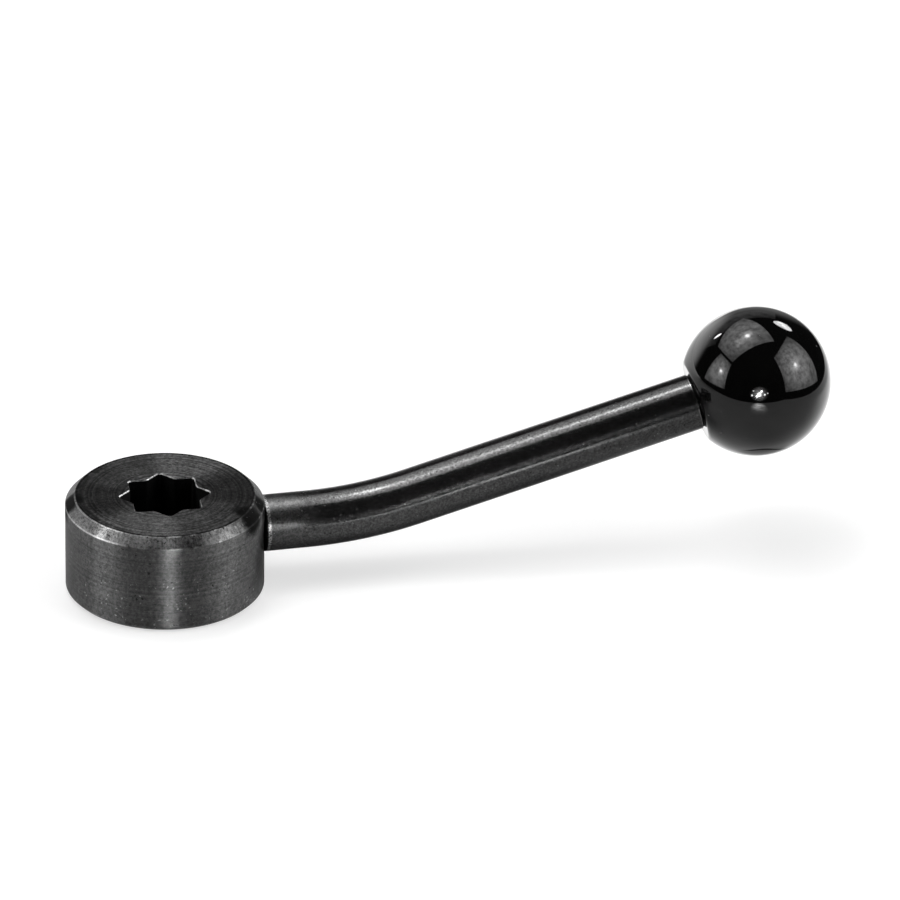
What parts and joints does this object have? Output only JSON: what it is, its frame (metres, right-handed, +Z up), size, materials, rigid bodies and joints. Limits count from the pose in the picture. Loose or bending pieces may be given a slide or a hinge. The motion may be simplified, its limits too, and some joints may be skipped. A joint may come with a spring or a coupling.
{
  "type": "clamping lever",
  "caption": "Tension lever: flat round steel hub with a double-square socket, a bent round arm and a ball knob.",
  "frame": {"origin": "socket axis at the hub's lower face", "axes": "+Z up along the socket axis to the upper face, +X along the arm to the knob, the arm bends up in the XZ plane"},
  "size_m": [0.165, 0.042, 0.0514],
  "materials": {
    "hub_steel": "turned steel, blackened, satin",
    "arm_steel": "bright bar, blackened, half gloss",
    "knob_plastic": "moulded thermoset, high gloss"
  },
  "bodies": {
    "root": {"hub": "hub_steel", "lever_arm": "arm_steel", "ball_knob": "knob_plastic"}
  },
  "joints": []
}
